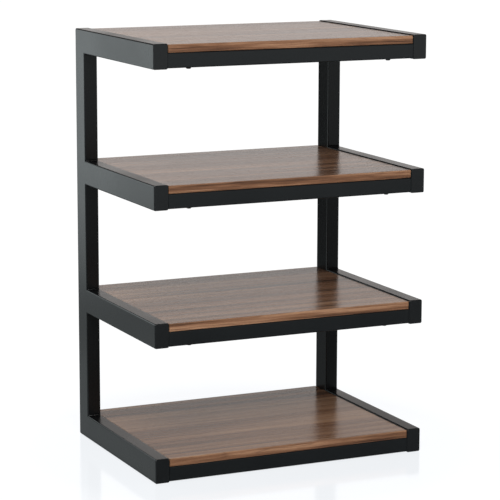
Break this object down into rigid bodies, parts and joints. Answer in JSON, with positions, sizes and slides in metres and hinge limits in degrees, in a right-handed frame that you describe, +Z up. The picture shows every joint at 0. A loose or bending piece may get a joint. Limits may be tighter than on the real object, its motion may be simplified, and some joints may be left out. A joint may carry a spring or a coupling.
{
  "type": "audio equipment rack",
  "caption": "Open audio rack: two welded steel side frames with forward arms, joined by cross rails under wood shelves.",
  "frame": {"origin": "on the floor, under the middle of the rack's outline", "axes": "+X to the right seen from the front, +Y to the back, +Z up; the open front with the arm ends faces -Y"},
  "size_m": [0.6, 0.43, 0.875],
  "materials": {
    "frame_steel": "satin black powder coat",
    "cap_plastic": "moulded, satin",
    "walnut_board": "walnut surface with straight grain across the width, satin lacquer",
    "walnut_edging": "walnut edge band, satin lacquer",
    "screw_steel": "black oxide"
  },
  "bodies": {
    "root": {"upright_left": "frame_steel", "arm_left_1": "frame_steel", "end_cap_left_1": "cap_plastic", "arm_left_2": "frame_steel", "end_cap_left_2": "cap_plastic", "arm_left_3": "frame_steel", "end_cap_left_3": "cap_plastic", "arm_left_4": "frame_steel", "end_cap_left_4": "cap_plastic", "upright_right": "frame_steel", "arm_right_1": "frame_steel", "end_cap_right_1": "cap_plastic", "arm_right_2": "frame_steel", "end_cap_right_2": "cap_plastic", "arm_right_3": "frame_steel", "end_cap_right_3": "cap_plastic", "arm_right_4": "frame_steel", "end_cap_right_4": "cap_plastic", "shelf_board_1": "walnut_board", "front_edging_1": "walnut_edging", "front_rail_1": "frame_steel", "screw_front_left_1": "screw_steel", "screw_front_right_1": "screw_steel", "rear_rail_1": "frame_steel", "screw_rear_left_1": "screw_steel", "screw_rear_right_1": "screw_steel", "shelf_board_2": "walnut_board", "front_edging_2": "walnut_edging", "front_rail_2": "frame_steel", "screw_front_left_2": "screw_steel", "screw_front_right_2": "screw_steel", "rear_rail_2": "frame_steel", "screw_rear_left_2": "screw_steel", "screw_rear_right_2": "screw_steel", "shelf_board_3": "walnut_board", "front_edging_3": "walnut_edging", "front_rail_3": "frame_steel", "screw_front_left_3": "screw_steel", "screw_front_right_3": "screw_steel", "rear_rail_3": "frame_steel", "screw_rear_left_3": "screw_steel", "screw_rear_right_3": "screw_steel", "shelf_board_4": "walnut_board", "front_edging_4": "walnut_edging", "front_rail_4": "frame_steel", "screw_front_left_4": "screw_steel", "screw_front_right_4": "screw_steel", "rear_rail_4": "frame_steel", "screw_rear_left_4": "screw_steel", "screw_rear_right_4": "screw_steel"}
  },
  "joints": []
}
